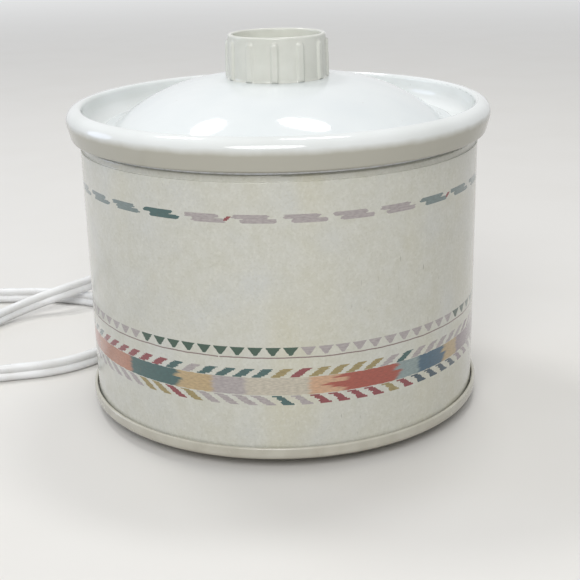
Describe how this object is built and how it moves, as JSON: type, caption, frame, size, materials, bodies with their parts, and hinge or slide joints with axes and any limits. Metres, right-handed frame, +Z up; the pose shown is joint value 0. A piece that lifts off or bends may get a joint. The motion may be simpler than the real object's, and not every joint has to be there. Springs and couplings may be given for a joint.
{
  "type": "mini slow cooker",
  "caption": "Small round slow cooker: printed steel casing with a heated well, lift-out crock with an overhanging rim, domed lid with a ribbed cup knob, and a flat cord.",
  "frame": {"origin": "on the table, on the pot's vertical axis", "axes": "+Z up, -Y the front, +Y the rear where the cord leaves, +X to the viewer's right"},
  "size_m": [0.2857, 0.2322, 0.1249],
  "materials": {
    "pan_paint": "satin grey-beige paint",
    "printed_steel": "glossy printed off-white",
    "well_aluminium": "bare spun",
    "heater_foil": "foil faced",
    "plated_steel": "zinc plated",
    "fuse_can": "plain",
    "woven_sleeve": "woven glass",
    "crimp_plastic": "moulded",
    "wire_jacket": "extruded",
    "cord_vinyl": "satin vinyl",
    "blade_brass": "nickel plated",
    "foot_rubber": "moulded",
    "glazed_stoneware": "clear gloss glaze on white stoneware",
    "lid_glaze": "glossy white",
    "knob_plastic": "glossy moulded white"
  },
  "bodies": {
    "base": {"base_pan": "pan_paint", "outer_shell": "printed_steel", "heater_well": "well_aluminium", "heater_band": "heater_foil", "band_strap": "plated_steel", "strap_fastener": "plated_steel", "well_stud": "plated_steel", "stud_washer": "plated_steel", "stud_nut": "plated_steel", "thermal_fuse": "fuse_can", "fuse_sleeve": "woven_sleeve", "fuse_clip": "well_aluminium", "crimp_connectors": "crimp_plastic", "supply_wires": "wire_jacket", "fuse_leads": "wire_jacket", "heater_leads": "wire_jacket", "strain_relief": "cord_vinyl", "power_cord": "cord_vinyl", "plug_body": "cord_vinyl", "plug_blades": "blade_brass", "foot_front_left": "foot_rubber", "foot_front_right": "foot_rubber", "foot_rear_left": "foot_rubber", "foot_rear_right": "foot_rubber"},
    "crock": {"crock": "glazed_stoneware"},
    "lid": {"lid_dome": "lid_glaze", "lid_knob": "knob_plastic", "knob_washer": "plated_steel", "knob_screw": "plated_steel"}
  },
  "joints": [
    {"name": "crock_lift", "type": "slide", "parent": "base", "child": "crock", "axis": [0, 0, 1], "range_m": [0, 0.075]},
    {"name": "lid_lift", "type": "slide", "parent": "crock", "child": "lid", "axis": [0, 0, 1], "range_m": [0, 0.06]}
  ]
}
